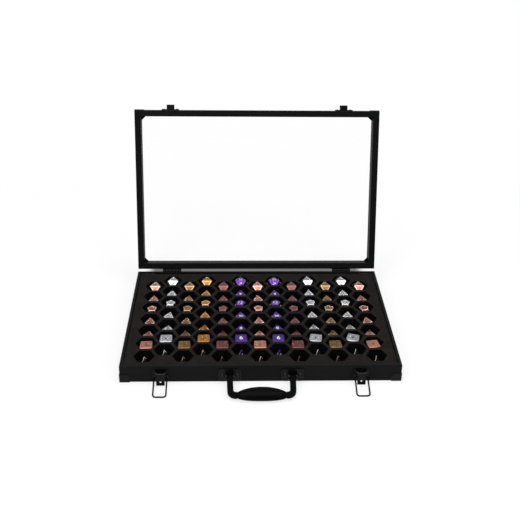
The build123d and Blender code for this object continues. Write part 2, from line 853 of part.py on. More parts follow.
# Handle, one moulding with two arms and a lens-shaped grip that rests on the floor
grip_rest_height = grip_middle_thickness / 2 + grip_floor_gap
handle_droop = asin((handle_pivot_height - grip_rest_height) / grip_middle_reach)
handle_plane = Plane(
    origin=(0, -case_depth / 2 - handle_pivot_out, handle_pivot_height),
    x_dir=(1, 0, 0),
    z_dir=(0, sin(handle_droop), -cos(handle_droop)),
)
with BuildPart() as handle:
    arm_x = bracket_spacing / 2
    with BuildLine(handle_plane) as arm_route:
        FilletPolyline(
            (arm_x, 0), (arm_x - arm_toe_in, arm_reach), (grip_end, arm_reach), radius=arm_corner_radius
        )
    arm_start = Plane(
        origin=arm_route.line @ 0, x_dir=handle_plane.z_dir, z_dir=arm_route.line % 0
    )
    with BuildSketch(arm_start):
        RectangleRounded(arm_thickness, arm_width, arm_edge_radius)
    sweep()
    with BuildSketch(side_view(arm_x)):
        with Locations(handle_pivot):
            Circle(arm_thickness / 2)
    extrude(amount=arm_width / 2, both=True)
    with BuildSketch(side_view(arm_x)):
        with Locations(handle_pivot):
            Circle(handle_pin_radius + running_clearance)
    extrude(amount=arm_width, both=True, mode=Mode.SUBTRACT)
    mirror(about=Plane.YZ)
    grip_shoulder_reach = (arm_reach + grip_middle_reach) / 2
    grip_stations = [
        (-grip_end, arm_reach, grip_end_width, grip_end_thickness),
        (-grip_shoulder, grip_shoulder_reach, grip_shoulder_width, grip_shoulder_thickness),
        (0, grip_middle_reach, grip_middle_width, grip_middle_thickness),
        (grip_shoulder, grip_shoulder_reach, grip_shoulder_width, grip_shoulder_thickness),
        (grip_end, arm_reach, grip_end_width, grip_end_thickness),
    ]
    for station_x, reach, width, thickness in grip_stations:
        centre = handle_plane.from_local_coords((station_x, reach, 0))
        with BuildSketch(Plane(origin=centre, x_dir=handle_plane.y_dir, z_dir=(1, 0, 0))):
            Ellipse(width / 2, thickness / 2)
    loft()
write(handle, "handle")
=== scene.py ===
"""Dice display case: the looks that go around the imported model.

A black anodised case stands open on a pale floor. Its tray is black foam with staggered
hexagonal pockets, and each column of pockets holds a seven-piece set of metal dice. Lengths
are metres unless a name ends in _mm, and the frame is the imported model's own.
"""

import logging
import math
import random
from collections.abc import Callable, Iterable
from dataclasses import dataclass, field
from enum import Enum
from functools import cache
from itertools import combinations

import bmesh
import bpy
from mathutils import Euler, Matrix, Vector
from mathutils.geometry import tessellate_polygon


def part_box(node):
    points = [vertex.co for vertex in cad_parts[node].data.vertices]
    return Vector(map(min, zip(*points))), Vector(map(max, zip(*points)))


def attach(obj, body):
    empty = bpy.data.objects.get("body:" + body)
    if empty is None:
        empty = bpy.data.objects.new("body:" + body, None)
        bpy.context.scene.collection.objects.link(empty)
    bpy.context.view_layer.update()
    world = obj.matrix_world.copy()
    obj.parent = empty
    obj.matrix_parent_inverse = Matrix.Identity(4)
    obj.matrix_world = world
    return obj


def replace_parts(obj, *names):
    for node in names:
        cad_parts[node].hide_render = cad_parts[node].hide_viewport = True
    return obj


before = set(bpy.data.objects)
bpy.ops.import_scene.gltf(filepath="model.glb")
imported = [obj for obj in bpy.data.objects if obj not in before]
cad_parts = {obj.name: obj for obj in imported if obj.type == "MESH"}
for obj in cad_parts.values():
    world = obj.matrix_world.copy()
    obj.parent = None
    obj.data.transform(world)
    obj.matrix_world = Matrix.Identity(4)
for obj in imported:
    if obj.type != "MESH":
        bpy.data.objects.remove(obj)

MM = 0.001
LID_OPEN_DEG = 107.6
LOG = logging.getLogger("dice_case")

Colour = tuple[float, float, float, float]
Size = float | tuple[float, float, float]
Range = tuple[float, float]
Loop = list[Vector]
Tree = bpy.types.NodeTree
Socket = bpy.types.NodeSocket

# Settings of maths nodes
TIMES = {"operation": "MULTIPLY"}
LARGER = {"operation": "MAXIMUM"}


def linear(hex_colour: str) -> Colour:
    """Turns an sRGB hex colour into linear red, green, blue and alpha.

    Args:
        hex_colour: a colour such as "#1a1a1c".

    Returns:
        The linear colour, with alpha 1.
    """
    shares = [int(hex_colour[i : i + 2], 16) / 255 for i in (1, 3, 5)]
    red, green, blue = (s / 12.92 if s <= 0.04045 else ((s + 0.055) / 1.055) ** 2.4 for s in shares)
    return (red, green, blue, 1.0)


def add_node(
    tree: Tree,
    kind: str,
    settings: dict[str | int, object] | None = None,
    links: dict[str | int, Socket] | None = None,
    output: str | int = 0,
) -> Socket | None:
    """Adds one node with its settings and links.

    Args:
        tree: the node tree to add to.
        kind: the node's type, without the ShaderNode that all types start with.
        settings: values of the node's own properties and, by name or number, of its inputs.
        links: for each input, the output that feeds it.
        output: which of the node's outputs is wanted.

    Returns:
        The wanted output, or None from a node that has no outputs.
    """
    node = tree.nodes.new(f"ShaderNode{kind}")
    for name, value in (settings or {}).items():
        if isinstance(name, int) or name in node.inputs:
            node.inputs[name].default_value = value
        else:
            setattr(node, name, value)
    for name, source in (links or {}).items():
        tree.links.new(source, node.inputs[name])
    return node.outputs[output] if node.outputs else None


def spread(low: float, high: float) -> dict[str, object]:
    """Settings that map the middle part of a noise onto a range of values."""
    return {"From Min": 0.3, "From Max": 0.7, "To Min": low, "To Max": high}


def eased(start: float, end: float, first: float, last: float) -> dict[str, object]:
    """Settings that go smoothly from first to last while a value goes from start to end."""
    return {
        "interpolation_type": "SMOOTHSTEP",
        "From Min": start,
        "From Max": end,
        "To Min": first,
        "To Max": last,
    }


def between(first: str, second: str) -> dict[str | int, object]:
    """Settings that mix two hex colours."""
    return {"data_type": "RGBA", 6: linear(first), 7: linear(second)}


def relief(depth_mm: float, strength: float) -> dict[str, object]:
    """Settings of a bump that is depth_mm deep where its height goes from 0 to 1."""
    return {"Strength": strength, "Distance": depth_mm * MM}


def place_in(tree: Tree, size_mm: Size, turn: Euler | None = None) -> Socket:
    """Coordinates in which one unit is one feature of a pattern.

    Args:
        tree: the node tree to add to.
        size_mm: the feature's real size, all round or along its own x, y and z.
        turn: how the feature lies in the object, or None for straight.

    Returns:
        The scaled coordinates.
    """
    lengths = [size_mm] * 3 if isinstance(size_mm, float) else size_mm
    settings = {"vector_type": "TEXTURE", "Scale": [length * MM for length in lengths]}
    if turn is not None:
        settings["Rotation"] = turn
    where = add_node(tree, "TexCoord", output="Object")
    return add_node(tree, "Mapping", settings, {"Vector": where})


def grain(tree: Tree, size_mm: Size, turn: Euler | None = None, detail: float = 2.0) -> Socket:
    """Unevenness whose features have a real size.

    Args:
        tree: the node tree to add to.
        size_mm: the features' size, all round or along their own x, y and z.
        turn: how they lie in the object, or None for straight.
        detail: how many finer sizes are mixed in.

    Returns:
        A value from 0 to 1.
    """
    place = place_in(tree, size_mm, turn)
    return add_node(tree, "TexNoise", {"Scale": 1.0, "Detail": detail}, {"Vector": place})


def seen(tree: Tree) -> Socket:
    """Tells what is seen from what only gives light.

    Args:
        tree: the node tree to add to.

    Returns:
        1 where the camera, a reflection or a view through the window looks, else 0.
    """
    share = add_node(tree, "LightPath", output="Is Camera Ray")
    for ray in ("Is Glossy Ray", "Is Transmission Ray"):
        other = add_node(tree, "LightPath", output=ray)
        share = add_node(tree, "Math", LARGER, {0: share, 1: other})
    return share


# Finishes
class Run(Enum):
    """Which way an extruded bar runs, as the turn that lays the texture's x along it."""

    ACROSS = (0.0, 0.0, 0.0)
    DEPTH = (0.0, 0.0, 90.0)
    LID_SIDE = (0.0, LID_OPEN_DEG - 180.0, 90.0)

    def euler(self) -> Euler:
        """The turn in radians."""
        return Euler([math.radians(angle) for angle in self.value])


@dataclass(frozen=True)
class Finish:
    """A finish becomes one Blender material, made once and then shared."""

    name: str

    def material(self) -> bpy.types.Material:
        """Gives the finish's material, and makes it at first use.

        Returns:
            The material of this finish's name.
        """
        made = bpy.data.materials.get(self.name)
        if made is None:
            made = bpy.data.materials.new(self.name)
            made.use_nodes = True
            made.node_tree.nodes.clear()
            surface = self.surface(made.node_tree)
            add_node(made.node_tree, "OutputMaterial", links={"Surface": surface})
        return made

    def surface(self, tree: Tree) -> Socket:
        """Builds the shader; each finish has its own.

        Args:
            tree: the material's empty node tree.

        Returns:
            The shader's output.
        """
        raise NotImplementedError


@dataclass(frozen=True)
class Grained(Finish):
    """A surface whose shine and height follow a fine grain, and whose colour follows patches.

    Attributes:
        colour: its main colour.
        patch_colour: the colour that its patches go towards.
        patch_share: how far they go towards it; at 0 there are no patches.
        patch_mm: the patches' size, all round or along x, y and z.
        patch_detail: how many finer sizes are mixed into them.
        grain_mm: the grain's size, in the same way.
        run: how grain and patches lie in the object.
        roughness: the least and the most that the grain gives.
        metallic: 1 for bare or plated metal.
        specular: how strongly a surface that isn't metal mirrors.
        coat: weight of a clear lacquer on top.
        coat_roughness: the lacquer's roughness.
        bump_mm: depth of the grain; at 0 the surface is flat.
        bump_strength: how much of that depth shows.
    """

    colour: str
    patch_colour: str = "#000000"
    patch_share: float = 0.0
    patch_mm: Size = 1.0
    patch_detail: float = 2.0
    grain_mm: Size = 1.0
    run: Run = Run.ACROSS
    roughness: Range = (0.4, 0.6)
    metallic: float = 0.0
    specular: float = 0.5
    coat: float = 0.0
    coat_roughness: float = 0.04
    bump_mm: float = 0.0
    bump_strength: float = 0.4

    def surface(self, tree: Tree) -> Socket:
        """One principled shader, with a grain and, where they show, patches and a bump."""
        turn = self.run.euler()
        texture = grain(tree, self.grain_mm, turn)
        shine = add_node(tree, "MapRange", spread(*self.roughness), {"Value": texture})
        links = {"Roughness": shine}
        if self.patch_share > 0:
            patches = grain(tree, self.patch_mm, turn, self.patch_detail)
            reach = spread(0.0, self.patch_share)
            share = add_node(tree, "MapRange", reach, {"Value": patches})
            colours = between(self.colour, self.patch_colour)
            links["Base Color"] = add_node(tree, "Mix", colours, {0: share}, 2)
        if self.bump_mm > 0:
            bump = relief(self.bump_mm, self.bump_strength)
            links["Normal"] = add_node(tree, "Bump", bump, {"Height": texture})
        settings = {
            "Base Color": linear(self.colour),
            "Metallic": self.metallic,
            "Specular IOR Level": self.specular,
            "Coat Weight": self.coat,
            "Coat Roughness": self.coat_roughness,
        }
        return add_node(tree, "BsdfPrincipled", settings, links)


@dataclass(frozen=True)
class AnodisedAluminium(Grained):
    """Extruded aluminium, black anodised: a dull satin black with faint lines along each bar.

    The die lines of real extrusion are finer than the render shows, so they are drawn wider.
    """

    colour: str = "#151516"
    patch_colour: str = "#1a1a1b"
    patch_share: float = 1.0
    patch_mm: Size = (60.0, 0.6, 0.6)
    grain_mm: Size = (60.0, 0.6, 0.6)
    roughness: Range = (0.42, 0.52)
    specular: float = 0.03
    bump_mm: float = 0.02


@dataclass(frozen=True)
class MillAluminium(Grained):
    """Bare pressed aluminium of the hidden corner keys: grey metal whose rolled grain dulls it."""

    colour: str = "#b4b5b8"
    grain_mm: Size = (6.4, 0.8, 0.8)
    roughness: Range = (0.35, 0.5)
    metallic: float = 1.0


@dataclass(frozen=True)
class EnamelledSteel(Grained):
    """Pressed steel in black stoving enamel: deep black and glossy, with a slight orange peel."""

    colour: str = "#070707"
    grain_mm: float = 1.1
    roughness: Range = (0.24, 0.36)
    specular: float = 0.15
    bump_mm: float = 0.015
    bump_strength: float = 0.5


@dataclass(frozen=True)
class NickelPlatedSteel(Grained):
    """Turned steel with dull nickel: a grey, slightly warm metal, finely mottled."""

    colour: str = "#2e2d2b"
    grain_mm: float = 0.3
    roughness: Range = (0.3, 0.42)
    metallic: float = 1.0


@dataclass(frozen=True)
class MouldedAbs(Grained):
    """Injection-moulded ABS, black: smooth and glossy, with the mould's faint spark texture."""

    colour: str = "#060606"
    grain_mm: float = 0.5
    roughness: Range = (0.16, 0.24)
    specular: float = 0.025
    bump_mm: float = 0.005


@dataclass(frozen=True)
class PlatedZinc(Grained):
    """Die-cast zinc alloy, plated and tumbled: a soft-edged metal shine in the plating's colour.

    Its patches are darker plating, left where tumbling didn't reach.
    """

    patch_mm: float = 4.0
    patch_detail: float = 5.0
    grain_mm: float = 0.5
    roughness: Range = (0.16, 0.26)
    metallic: float = 1.0
    bump_mm: float = 0.004
    bump_strength: float = 0.3


@dataclass(frozen=True)
class LacqueredZinc(Grained):
    """Die-cast zinc alloy in tinted lacquer: slight flakes in a deep colour, under a wet shine."""

    patch_share: float = 1.0
    patch_mm: float = 0.5
    patch_detail: float = 3.0
    roughness: Range = (0.3, 0.3)
    metallic: float = 1.0
    coat: float = 0.12


@dataclass(frozen=True)
class NumeralPaint(Grained):
    """Paint wiped into the numerals: matte, with a slightly uneven shine."""

    grain_mm: float = 0.6
    roughness: Range = (0.5, 0.7)


@dataclass(frozen=True)
class ClosedCellFoam(Finish):
    """Black EVA foam, die cut: dead matte, warm black, with cut cells that catch a little light.

    The cells are really about 0.2 mm across and are drawn coarser, so that they show. The cut
    walls of the pockets take a darker colour than the skin on top, as painted shade.
    skin_slope is the least and the full upward lean of a surface that counts as skin; steeper
    surfaces take the painted shade.
    """

    colour: str = "#1b1918"
    light_colour: str = "#221f1e"
    # Painted shade for the pocket walls
    wall_shade_colour: str = "#090909"
    cell_mm: float = 0.7
    cell_depth_mm: float = 0.12
    bump_strength: float = 0.5
    patch_mm: float = 9.0
    patch_detail: float = 4.0
    skin_slope: Range = (0.2, 0.8)
    roughness: float = 0.95
    specular: float = 0.05

    def surface(self, tree: Tree) -> Socket:
        """Cells in the surface, soft patches of lighter skin, and painted shade on the pocket walls.
        """
        place = place_in(tree, self.cell_mm)
        cells = add_node(tree, "TexVoronoi", {"Scale": 1.0}, {"Vector": place})
        patches = grain(tree, self.patch_mm, detail=self.patch_detail)
        share = add_node(tree, "MapRange", spread(0.0, 1.0), {"Value": patches})
        skin_colours = between(self.colour, self.light_colour)
        skin = add_node(tree, "Mix", skin_colours, {0: share}, 2)
        facing = add_node(tree, "NewGeometry", output="Normal")
        upward = add_node(tree, "SeparateXYZ", links={0: facing}, output="Z")
        slope = eased(*self.skin_slope, 0.0, 1.0)
        on_top = add_node(tree, "MapRange", slope, {"Value": upward})
        # Painted shade: surfaces that don't face up, the pocket walls, take the dark wall colour
        wall = {"data_type": "RGBA", 6: linear(self.wall_shade_colour)}
        bump = relief(self.cell_depth_mm, self.bump_strength)
        links = {
            "Base Color": add_node(tree, "Mix", wall, {0: on_top, 7: skin}, 2),
            "Normal": add_node(tree, "Bump", bump, {"Height": cells}),
        }
        settings = {"Roughness": self.roughness, "Specular IOR Level": self.specular}
        return add_node(tree, "BsdfPrincipled", settings, links)


@dataclass(frozen=True)
class CastAcrylic(Finish):
    """Cast acrylic sheet: colourless and polished, so that it shows only by its reflections.

    clear_share is the part of a view that goes straight through, without bending or shine.
    """

    ior: float = 1.49
    clear_share: float = 0.92
    haze_mm: float = 25.0
    roughness: Range = (0.0, 0.02)

    def surface(self, tree: Tree) -> Socket:
        """Clear sheet that lets the lamps' light through without a dark shadow."""
        haze = grain(tree, self.haze_mm)
        shine = add_node(tree, "MapRange", spread(*self.roughness), {"Value": haze})
        settings = {"Transmission Weight": 1.0, "IOR": self.ior, "Base Color": linear("#ffffff")}
        sheet = add_node(tree, "BsdfPrincipled", settings, {"Roughness": shine})
        clear = add_node(tree, "BsdfTransparent")
        shadow = add_node(tree, "LightPath", output="Is Shadow Ray")
        diffuse = add_node(tree, "LightPath", output="Is Diffuse Ray")
        unseen = add_node(tree, "Math", LARGER, {0: shadow, 1: diffuse})
        least = {**LARGER, 1: self.clear_share}
        share = add_node(tree, "Math", least, {0: unseen})
        return add_node(tree, "MixShader", links={0: share, 1: sheet, 2: clear})


@dataclass(frozen=True)
class EmbossedBoard(Finish):
    """Hardboard faced with embossed black vinyl: small pebbles with a soft shine."""

    colour: str = "#19191a"
    pebble_mm: float = 1.4
    pebble_depth_mm: float = 0.15
    bump_strength: float = 0.7
    roughness: float = 0.6

    def surface(self, tree: Tree) -> Socket:
        """Pebble grain in the vinyl."""
        rounded = {"Scale": 1.0, "feature": "SMOOTH_F1"}
        place = place_in(tree, self.pebble_mm)
        pebbles = add_node(tree, "TexVoronoi", rounded, {"Vector": place})
        bump = relief(self.pebble_depth_mm, self.bump_strength)
        normal = add_node(tree, "Bump", bump, {"Height": pebbles})
        settings = {"Base Color": linear(self.colour), "Roughness": self.roughness}
        return add_node(tree, "BsdfPrincipled", settings, {"Normal": normal})


@dataclass(frozen=True)
class StudioSweep(Finish):
    """White painted studio floor: it shows as the white paper does, and keeps soft shadows.

    What the camera sees is a mix of the lit floor and plain white. shadow_share is the lit
    floor's part: its first value holds close behind the case, where the open lid keeps the
    light out, and its second elsewhere. The first ends over close_end, measured from the case,
    and sideways over side_end, measured from the middle.
    Beyond shadow_end all is plain white. footprint is half of the case's width and depth.
    The shade colour is painted shade: it darkens the floor's own colour in that narrow strip,
    which hardly any light reaches.
    """

    colour: str = "#f8f8f8"
    painted_shade_colour: str = "#7c7c7c"
    shadow_share: Range = (0.95, 0.3)
    close_end: Range = (46.0 * MM, 62.0 * MM)
    side_end: Range = (146.0 * MM, 166.0 * MM)
    shadow_end: Range = (0.35, 0.7)
    footprint: tuple[float, float] = (167.5 * MM, 110.5 * MM)
    mottle_mm: float = 400.0
    roughness: Range = (0.4, 0.6)

    def shade(self, tree: Tree, place: Socket) -> Socket:
        """Finds the strip close behind the case.

        Args:
            tree: the material's node tree.
            place: the floor's own coordinates.

        Returns:
            1 in the strip and 0 outside it, with soft ends.
        """
        sideways = add_node(tree, "VectorMath", {"operation": "ABSOLUTE"}, {0: place})
        across = add_node(tree, "SeparateXYZ", links={0: sideways}, output="X")
        minus = {"operation": "SUBTRACT", 1: (*self.footprint, 0.0)}
        outside = add_node(tree, "VectorMath", minus, {0: sideways})
        beyond = add_node(tree, "VectorMath", LARGER, {0: outside})
        gap = add_node(tree, "VectorMath", {"operation": "LENGTH"}, {0: beyond}, "Value")
        back = add_node(tree, "SeparateXYZ", links={0: place}, output="Y")
        behind = eased(0.0, self.footprint[1], 0.0, 1.0)
        share = add_node(tree, "MapRange", behind, {"Value": back})
        for distance, end in ((gap, self.close_end), (across, self.side_end)):
            fade = add_node(tree, "MapRange", eased(*end, 1.0, 0.0), {"Value": distance})
            share = add_node(tree, "Math", TIMES, {0: share, 1: fade})
        return share

    def surface(self, tree: Tree) -> Socket:
        """Lit white floor, evened out towards white where it is seen, with painted shade in the strip
        close behind the case.
        """
        place = add_node(tree, "TexCoord", output="Object")
        shade = self.shade(tree, place)
        mottle = grain(tree, self.mottle_mm)
        # Painted shade: the floor's colour goes towards the shade colour in the strip behind the case
        colours = between(self.colour, self.painted_shade_colour)
        links = {
            "Color": add_node(tree, "Mix", colours, {0: shade}, 2),
            "Roughness": add_node(tree, "MapRange", spread(*self.roughness), {"Value": mottle}),
        }
        floor = add_node(tree, "BsdfDiffuse", links=links)
        white = add_node(tree, "Emission", {"Color": linear("#ffffff")})
        close, common = self.shadow_share
        shares = {"data_type": "FLOAT", 2: common, 3: close}
        lit = add_node(tree, "Mix", shares, {0: shade})
        away = add_node(tree, "VectorMath", {"operation": "LENGTH"}, {0: place}, "Value")
        near = eased(*self.shadow_end, 1.0, 0.0)
        fade = add_node(tree, "MapRange", near, {"Value": away})
        shown = add_node(tree, "Math", TIMES, {0: lit, 1: fade})
        rest = {"operation": "SUBTRACT", 0: 1.0}
        plain = add_node(tree, "Math", rest, {1: shown})
        share = add_node(tree, "Math", TIMES, {0: seen(tree), 1: plain})
        return add_node(tree, "MixShader", links={0: share, 1: floor, 2: white})


# Shared mesh helpers
def dress(nodes: Iterable[str], finish: Finish) -> None:
    """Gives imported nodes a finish.

    Args:
        nodes: the nodes' names.
        finish: the finish that they all take.
    """
    for name in nodes:
        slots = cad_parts[name].data.materials
        slots.clear()
        slots.append(finish.material())


def new_object(name: str, shape: bmesh.types.BMesh, finishes: list[Finish]) -> bpy.types.Object:
    """Makes an object from finished mesh code.

    Args:
        name: the object's name.
        shape: the mesh, which is freed.
        finishes: the finish of each material index.

    Returns:
        The object, linked to the scene.
    """
    mesh = bpy.data.meshes.new(name)
    shape.to_mesh(mesh)
    shape.free()
    for finish in finishes:
        mesh.materials.append(finish.material())
    made = bpy.data.objects.new(name, mesh)
    bpy.context.scene.collection.objects.link(made)
    return made


def plate_with_holes(
    outline: Callable[[float], Loop],
    holes: list[Callable[[float], Loop]],
    bottom: float,
    top: float,
    edge: float,
    steps: int = 3,
) -> bmesh.types.BMesh:
    """A flat plate with through holes and rounded rims.

    Args:
        outline: gives the outer loop, drawn in by a distance.
        holes: for each hole, gives its loop, widened by a distance.
        bottom: height of the underside.
        top: height of the upper side.
        edge: radius of the rims.
        steps: number of strips in each rounded rim.

    Returns:
        The closed mesh.
    """
    turns = [math.pi / 2 * step / steps for step in range(steps + 1)]
    upper = [(edge * (1 - math.cos(t)), top - edge * (1 - math.sin(t))) for t in turns]
    lower = [(draw, bottom + top - height) for draw, height in reversed(upper)]
    levels = lower + upper
    shape = bmesh.new()
    ends: dict[int, list[list[bmesh.types.BMVert]]] = {0: [], len(levels) - 1: []}
    for number, loop in enumerate([outline, *holes]):
        rings = []
        for level, (draw, height) in enumerate(levels):
            ring = [shape.verts.new((p.x, p.y, height)) for p in loop(draw)]
            rings.append(ring)
            if level in ends:
                ends[level].append(ring)
        for below, above in zip(rings, rings[1:]):
            for i, corner in enumerate(below):
                after = (i + 1) % len(below)
                quad = [corner, below[after], above[after], above[i]]
                shape.faces.new(quad if number == 0 else list(reversed(quad)))
    for level, loops in ends.items():
        corners = [vert for ring in loops for vert in ring]
        flat = [[Vector((v.co.x, v.co.y, 0)) for v in ring] for ring in loops]
        for triangle in tessellate_polygon(flat):
            shape.faces.new([corners[i] for i in triangle])
    bmesh.ops.recalc_face_normals(shape, faces=shape.faces[:])
    return shape


def rectangle(corner: Vector) -> Callable[[float], Loop]:
    """A rectangle about the origin, as an outline that can be drawn in.

    Args:
        corner: the corner at the right of the back.

    Returns:
        The outline's function: it gives the four corners, anticlockwise, for a distance.
    """

    def outline(drawn_in: float) -> Loop:
        """The corners, drawn in by a distance."""
        x, y = corner.x - drawn_in, corner.y - drawn_in
        return [Vector((x, y, 0)), Vector((-x, y, 0)), Vector((-x, -y, 0)), Vector((x, -y, 0))]

    return outline


# Foam tray
@dataclass
class PocketPlan:
    """Where the hexagonal pockets are: columns run from the left, rows from the back."""

    columns: int = 13
    rows: int = 7
    across_flats: float = 22.5 * MM
    wall: float = 4.5 * MM

    @property
    def pitch(self) -> float:
        """From one pocket to the next in a column."""
        return self.across_flats + self.wall

    def centre(self, column: int, row: int) -> Vector:
        """The middle of a pocket on the floor plan.

        Args:
            column: its column, from 0 at the left.
            row: its row, from 0 at the back.

        Returns:
            The middle, at height 0.
        """
        shift = self.pitch / 4 if column % 2 else -self.pitch / 4
        x = (column - (self.columns - 1) / 2) * self.pitch * math.sqrt(3) / 2
        return Vector((x, ((self.rows - 1) / 2 - row) * self.pitch + shift, 0))


@dataclass
class FoamTray:
    """The foam grid with its pockets, and the thin liner below it."""

    plan: PocketPlan
    rim: float = 0.55 * MM
    corner: float = 1.0 * MM
    corner_points: int = 3
    unevenness: float = 0.12 * MM
    seed: int = 7
    foam: Finish = ClosedCellFoam("die_cut_eva_foam")
    # The liner takes a darker copy of the foam: painted shade for the pocket floors
    sheet: Finish = ClosedCellFoam("eva_foam_liner_painted_shade", colour="#100f0f", light_colour="#161514")

    def hexagon(self, centre: Vector, widen: float) -> Loop:
        """One pocket's outline with rounded corners.

        Args:
            centre: the pocket's middle.
            widen: how far each side stands outside the pocket.

        Returns:
            The outline's points, anticlockwise.
        """
        reach = (self.plan.across_flats / 2 + widen - self.corner) / math.cos(math.radians(30))
        points = []
        for side in range(6):
            heading = math.radians(60 * side)
            middle = centre + Vector((math.cos(heading), math.sin(heading), 0)) * reach
            for step in range(self.corner_points):
                turn = heading + math.radians(60 * (step / (self.corner_points - 1) - 0.5))
                points.append(middle + Vector((math.cos(turn), math.sin(turn), 0)) * self.corner)
        return points

    def grid(self) -> bpy.types.Object:
        """Cuts the foam grid, each pocket a hair off its place as die cutting leaves it."""
        low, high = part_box("foam_grid")
        draw = random.Random(self.seed)

        def pocket(centre: Vector, extra: float) -> Callable[[float], Loop]:
            """A pocket's outline as a function of how far it is widened."""
            return lambda widen: self.hexagon(centre, widen + extra)

        holes = []
        for column in range(self.plan.columns):
            for row in range(self.plan.rows):
                off = Vector((draw.uniform(-1, 1), draw.uniform(-1, 1), 0)) * self.unevenness
                extra = draw.uniform(0, 1) * self.unevenness
                holes.append(pocket(self.plan.centre(column, row) + off, extra))
        shape = plate_with_holes(rectangle(high), holes, low.z, high.z, self.rim)
        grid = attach(new_object("foam_pocket_grid", shape, [self.foam]), "base")
        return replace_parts(grid, "foam_grid")

    def liner(self) -> bpy.types.Object:
        """Lays the liner sheet that the dice stand on."""
        low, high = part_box("foam_liner")
        shape = plate_with_holes(rectangle(high), [], low.z, high.z, (high.z - low.z) / 4)
        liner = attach(new_object("foam_floor_sheet", shape, [self.sheet]), "base")
        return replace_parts(liner, "foam_liner")

    def build(self) -> None:
        """Builds both foam pieces."""
        self.grid()
        self.liner()
        LOG.info("foam tray: %d pockets", self.plan.columns * self.plan.rows)


# Dice
SIGNS = (-1, 1)
GOLDEN = (1 + math.sqrt(5)) / 2
D10_TILT_DEG = 42.0
# A die's borders have material index 0
PANEL, NUMERAL = 1, 2
# Shares of the distance from a die's middle to its face
PANEL_SINK = 0.012
CORNER_ERROR = 1e-4
LEAST_UPWARD = 0.01
# Where three planes meet in one point, and where two directions are alike
LEAST_DETERMINANT = 1e-6
LEAST_COSINE = 0.9999
# How far out a d4's numerals stand, from the face's middle to its corner
D4_NUMERAL_PLACE = 0.45
# Half a numeral's thickness before it is scaled, and the steps in each of its curves
NUMERAL_EXTRUDE = 0.012
NUMERAL_RESOLUTION = 2
CUBE_CORNERS = [(a, b, c) for a in SIGNS for b in SIGNS for c in SIGNS]


def d10_normals() -> list[tuple[float, float, float]]:
    """The ten face directions of a d10, whose kites all tilt alike."""
    tilt = math.radians(D10_TILT_DEG)
    flat, rise = math.cos(tilt), math.sin(tilt)
    return [
        (flat * math.cos(k * math.pi / 5), flat * math.sin(k * math.pi / 5), (-1) ** k * rise)
        for k in range(10)
    ]


def turned_rectangles(long: float, short: float) -> list[tuple[float, float, float]]:
    """Corners of three crossed rectangles, which give the faces of d12 and d20."""
    return [
        corner
        for a in SIGNS
        for b in SIGNS
        for corner in (
            (0, a * short, b * long),
            (a * short, b * long, 0),
            (b * long, 0, a * short),
        )
    ]


class DieKind(Enum):
    """The seven dice of a set, in the order of the rows from the back."""

    D20 = "d20"
    D10 = "d10"
    D12 = "d12"
    D100 = "d100"
    D8 = "d8"
    D6 = "d6"
    D4 = "d4"


@dataclass(frozen=True)
class DieForm:
    """The size and shape of one kind of die.

    Attributes:
        normals: the direction of each face, the resting face first.
        distance: from the die's middle to a face.
        turn: where the resting face's nearest corner points, in degrees round from +X.
        edge: radius of the edges.
        rim: width of the raised border of each face.
        numeral: height of the numerals.
        play: how far the die may be turned in its pocket, in degrees.
    """

    normals: tuple[tuple[float, float, float], ...]
    distance: float
    turn: float
    edge: float
    rim: float
    numeral: float
    play: float


FORMS = {
    DieKind.D20: DieForm(
        tuple(CUBE_CORNERS + turned_rectangles(GOLDEN, 1 / GOLDEN)),
        10.2 * MM, -90.0, 0.3 * MM, 0.6 * MM, 4.0 * MM, 2.0,
    ),
    DieKind.D10: DieForm(
        tuple(d10_normals()), 7.5 * MM, -90.0, 0.3 * MM, 0.8 * MM, 5.0 * MM, 5.0
    ),
    DieKind.D12: DieForm(
        tuple(turned_rectangles(GOLDEN, 1)),
        8.4 * MM, -90.0, 0.3 * MM, 0.7 * MM, 5.0 * MM, 12.0,
    ),
    DieKind.D100: DieForm(
        tuple(d10_normals()), 7.5 * MM, -90.0, 0.3 * MM, 0.8 * MM, 4.2 * MM, 8.0
    ),
    DieKind.D8: DieForm(
        tuple(CUBE_CORNERS), 6.3 * MM, -90.0, 0.3 * MM, 0.8 * MM, 5.4 * MM, 5.0
    ),
    DieKind.D6: DieForm(
        tuple((a * s, b * s, c * s) for s in SIGNS for a, b, c in ((0, 0, 1), (0, 1, 0), (1, 0, 0))),
        8.2 * MM, 45.0, 1.4 * MM, 0.8 * MM, 7.2 * MM, 3.0,
    ),
    DieKind.D4: DieForm(
        tuple(c for c in CUBE_CORNERS if c[0] * c[1] * c[2] < 0),
        17.8 / 4 * MM, 0.0, 0.3 * MM, 0.7 * MM, 3.6 * MM, 2.0,
    ),
}


